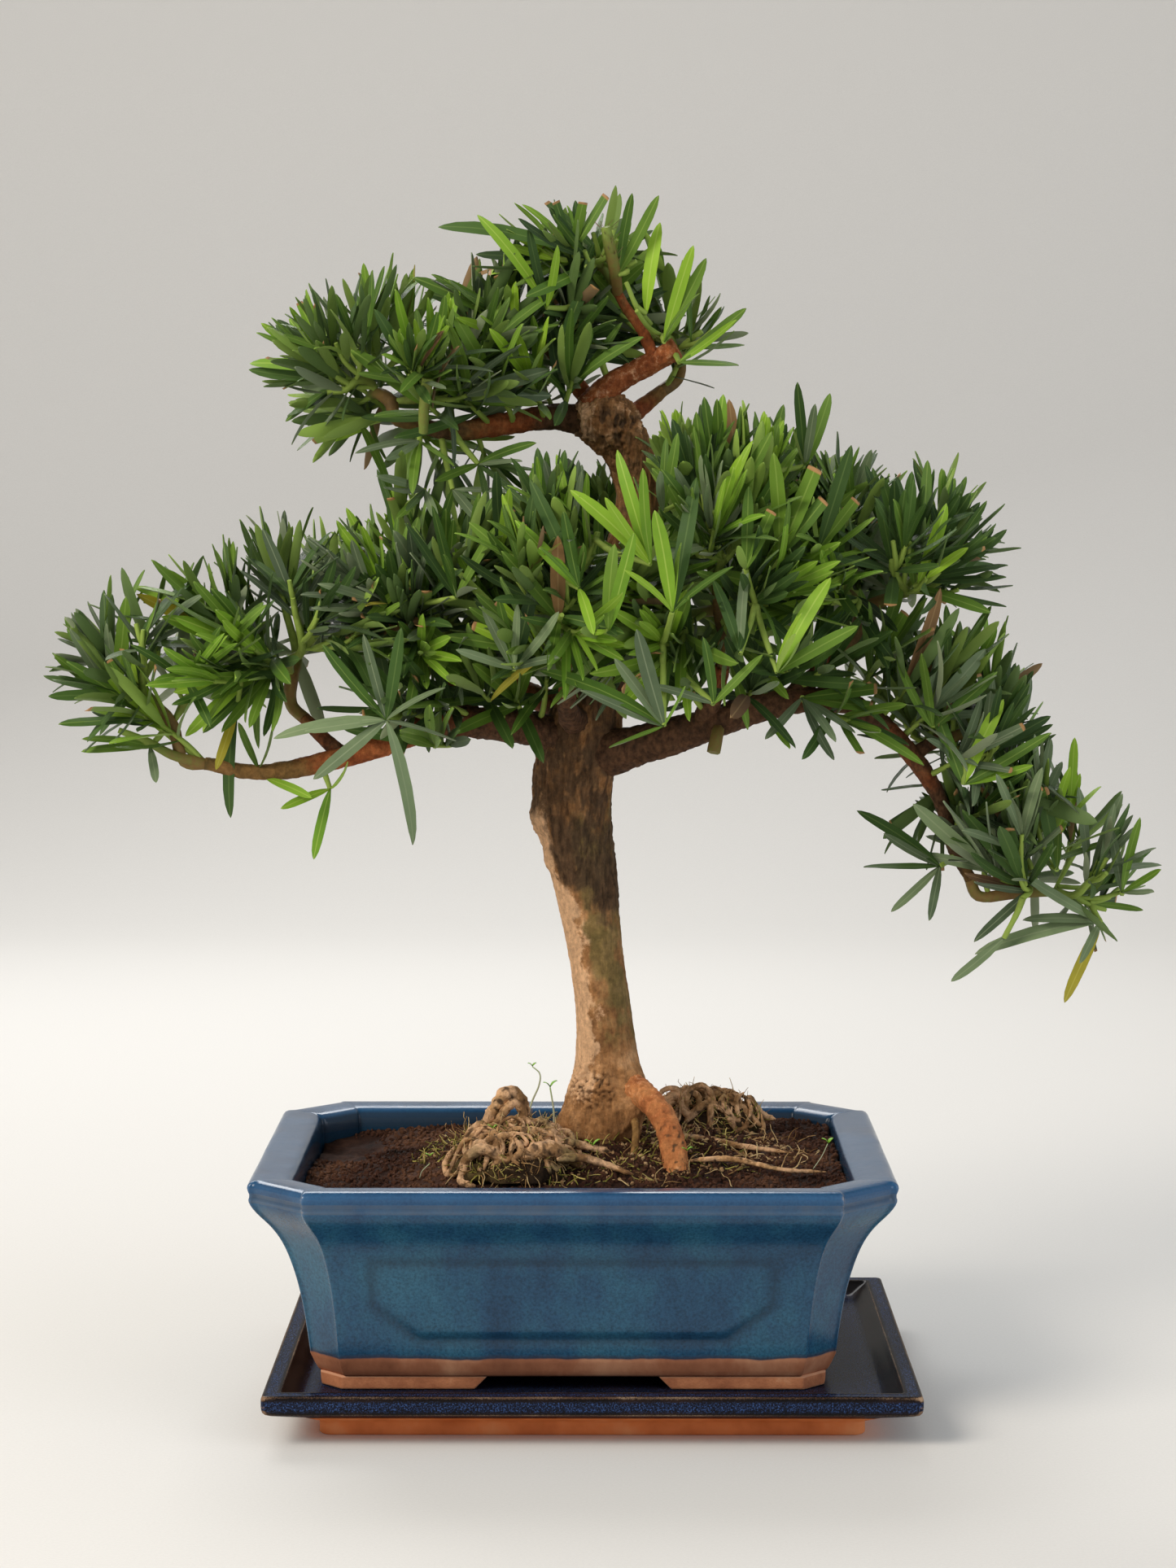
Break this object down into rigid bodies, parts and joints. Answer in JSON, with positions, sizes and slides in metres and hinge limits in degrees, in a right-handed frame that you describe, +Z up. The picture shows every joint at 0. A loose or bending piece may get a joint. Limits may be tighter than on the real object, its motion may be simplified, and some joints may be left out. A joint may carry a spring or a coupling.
{
  "type": "podocarpus bonsai",
  "caption": "Small trained podocarpus with strap-shaped leaves, in a flared rectangular glazed pot that stands on a drip tray.",
  "frame": {"origin": "centre of the drip tray's flat underside, which the plant stands on", "axes": "+Z up along the plant's height, +X to the right of the pot's long front, the front faces -Y"},
  "size_m": [0.4405, 0.2025, 0.4852],
  "materials": {
    "glaze": "glossy",
    "dark_glaze": "glossy",
    "terracotta": "matte",
    "soil": "matte",
    "moss": "matte",
    "bark": "matte",
    "red_bark": "matte",
    "foliage": "satin"
  },
  "bodies": {
    "root": {"bough_apex_left": "red_bark", "bough_apex_right": "red_bark", "bough_back_centre": "red_bark", "bough_back_left": "red_bark", "bough_back_right": "red_bark", "bough_centre_front": "red_bark", "bough_left": "red_bark", "bough_left_inner": "red_bark", "bough_left_outer": "red_bark", "bough_right": "red_bark", "bough_right_centre": "red_bark", "bough_right_crown": "red_bark", "bough_right_drop": "red_bark", "bough_right_lower": "red_bark", "bough_upper_left": "red_bark", "foliage_apex_left": "foliage", "foliage_apex_right": "foliage", "foliage_apex_top": "foliage", "foliage_back_centre": "foliage", "foliage_back_left": "foliage", "foliage_back_right": "foliage", "foliage_centre_front": "foliage", "foliage_left_inner": "foliage", "foliage_left_outer": "foliage", "foliage_left_tip": "foliage", "foliage_right": "foliage", "foliage_right_centre": "foliage", "foliage_right_lower": "foliage", "foliage_right_tip": "foliage", "foliage_upper_left": "foliage", "pot": "glaze", "pot_foot_back_left": "terracotta", "pot_foot_back_right": "terracotta", "pot_foot_front_left": "terracotta", "pot_foot_front_right": "terracotta", "root_heap_left": "moss", "root_ridge_back": "moss", "root_right": "red_bark", "root_thin": "red_bark", "soil": "soil", "stub_branch": "red_bark", "top_twig": "red_bark", "tray": "dark_glaze", "trunk": "bark"}
  },
  "joints": []
}
